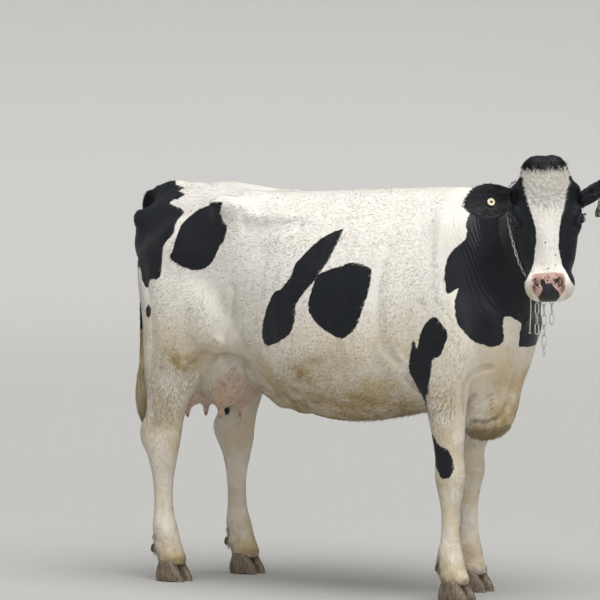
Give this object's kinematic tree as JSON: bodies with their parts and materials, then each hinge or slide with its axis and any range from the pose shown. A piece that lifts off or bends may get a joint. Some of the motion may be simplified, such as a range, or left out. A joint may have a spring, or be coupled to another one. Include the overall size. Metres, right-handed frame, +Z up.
{
  "type": "dairy cow",
  "caption": "Life-size black and white dairy cow, standing with her head turned to her right, with ear tags and a neck chain.",
  "frame": {"origin": "middle of the outline box, on the floor under the claws", "axes": "+X from rump to brisket, +Y to the cow's left, +Z up"},
  "size_m": [2.1818, 0.7528, 1.5834],
  "materials": {
    "coat_white": "short glossy white hair, cream to tan low on the body",
    "coat_black": "short glossy blue-black hair",
    "bare_skin": "bare pink-grey skin",
    "eye": "wet dark eyeball",
    "claw_horn": "worn pale horn",
    "dewclaw_horn": "dark horn",
    "tag_plastic": "faded pale yellow plastic",
    "chain_steel": "worn galvanised steel",
    "twine": "dull white twine"
  },
  "bodies": {
    "root": {"chain_end_long": "chain_steel", "chain_end_short": "chain_steel", "claw_fore_left_left": "claw_horn", "claw_fore_left_right": "claw_horn", "claw_fore_right_left": "claw_horn", "claw_fore_right_right": "claw_horn", "claw_hind_left_left": "claw_horn", "claw_hind_left_right": "claw_horn", "claw_hind_right_left": "claw_horn", "claw_hind_right_right": "claw_horn", "collar_knot": "twine", "collar_string": "twine", "dewclaw_fore_left_left": "dewclaw_horn", "dewclaw_fore_left_right": "dewclaw_horn", "dewclaw_fore_right_left": "dewclaw_horn", "dewclaw_fore_right_right": "dewclaw_horn", "dewclaw_hind_left_left": "dewclaw_horn", "dewclaw_hind_left_right": "dewclaw_horn", "dewclaw_hind_right_left": "dewclaw_horn", "dewclaw_hind_right_right": "dewclaw_horn", "ear_left": "coat_black", "ear_right": "coat_black", "eye_left": "eye", "eye_right": "eye", "head": "coat_white", "leg_fore_left": "coat_white", "leg_fore_right": "coat_white", "leg_hind_left": "coat_white", "leg_hind_right": "coat_white", "neck": "coat_white", "neck_chain": "chain_steel", "tag_button_right": "tag_plastic", "tag_panel_left": "tag_plastic", "tail": "coat_black", "tail_switch": "coat_white", "trunk": "coat_white", "udder": "bare_skin"}
  },
  "joints": []
}
